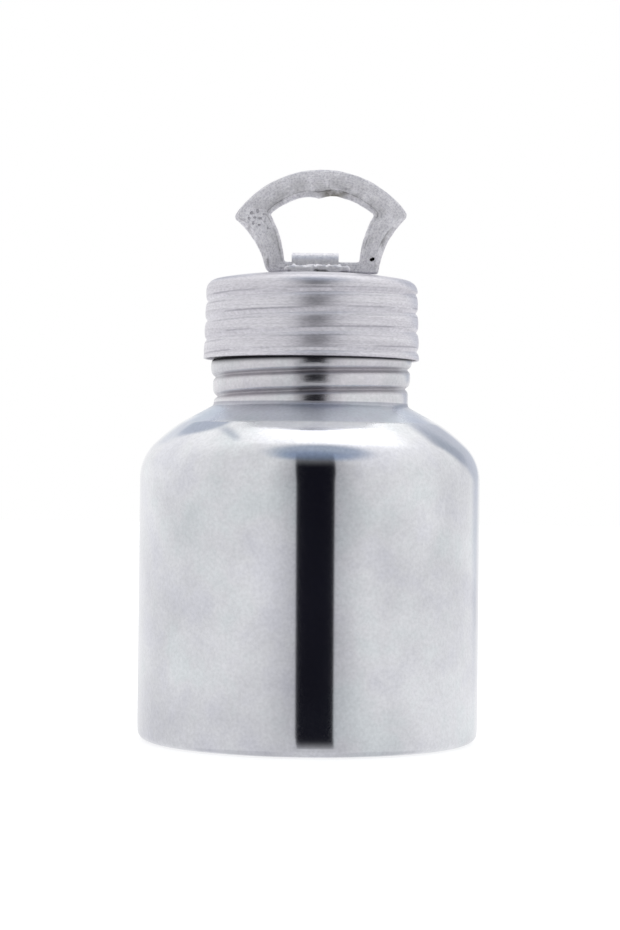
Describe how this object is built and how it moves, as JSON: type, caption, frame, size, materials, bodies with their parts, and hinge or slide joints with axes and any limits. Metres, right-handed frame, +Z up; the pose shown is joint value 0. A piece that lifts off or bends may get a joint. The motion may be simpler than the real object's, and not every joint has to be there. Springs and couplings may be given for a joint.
{
  "type": "ghee container",
  "caption": "Spun aluminium jar for ghee with a broad shoulder, a short threaded neck, a pressed screw lid and a cast bail handle that folds down onto the lid.",
  "frame": {"origin": "centre of the base, on the surface that the jar stands on", "axes": "+Z up along the jar's axis; -Y towards the front, where one clip rivet faces the viewer; +X to the viewer's right"},
  "size_m": [0.113, 0.113, 0.1895],
  "materials": {
    "polished_aluminium": "polished, slightly hazy",
    "turned_aluminium": "satin, with fine turning lines",
    "cast_aluminium": "dull, grainy casting, filed by hand",
    "white_rubber": "matte"
  },
  "bodies": {
    "container": {"jar": "polished_aluminium"},
    "seal": {"lid_seal": "white_rubber"},
    "lid": {"screw_lid": "turned_aluminium", "handle_clip": "turned_aluminium", "clip_rivet_front": "turned_aluminium", "clip_rivet_rear": "turned_aluminium"},
    "handle": {"handle": "cast_aluminium"}
  },
  "joints": [
    {"name": "lid_lift", "type": "slide", "parent": "container", "child": "seal", "axis": [0, 0, 1], "range_m": [0, 0.0286]},
    {"name": "lid_spin", "type": "hinge", "parent": "seal", "child": "lid", "pos_m": [0, 0, 0.12643], "axis": [0, 0, 1], "range_deg": [0, 1620]},
    {"name": "handle_fold", "type": "hinge", "parent": "lid", "child": "handle", "pos_m": [0.0034, 0, 0.15712], "axis": [1, 0, 0], "range_deg": [-88, 88]}
  ],
  "couplings": [
    {"joint": "lid_lift", "follows": "lid_spin", "m_per_rad": 0.0010106}
  ]
}
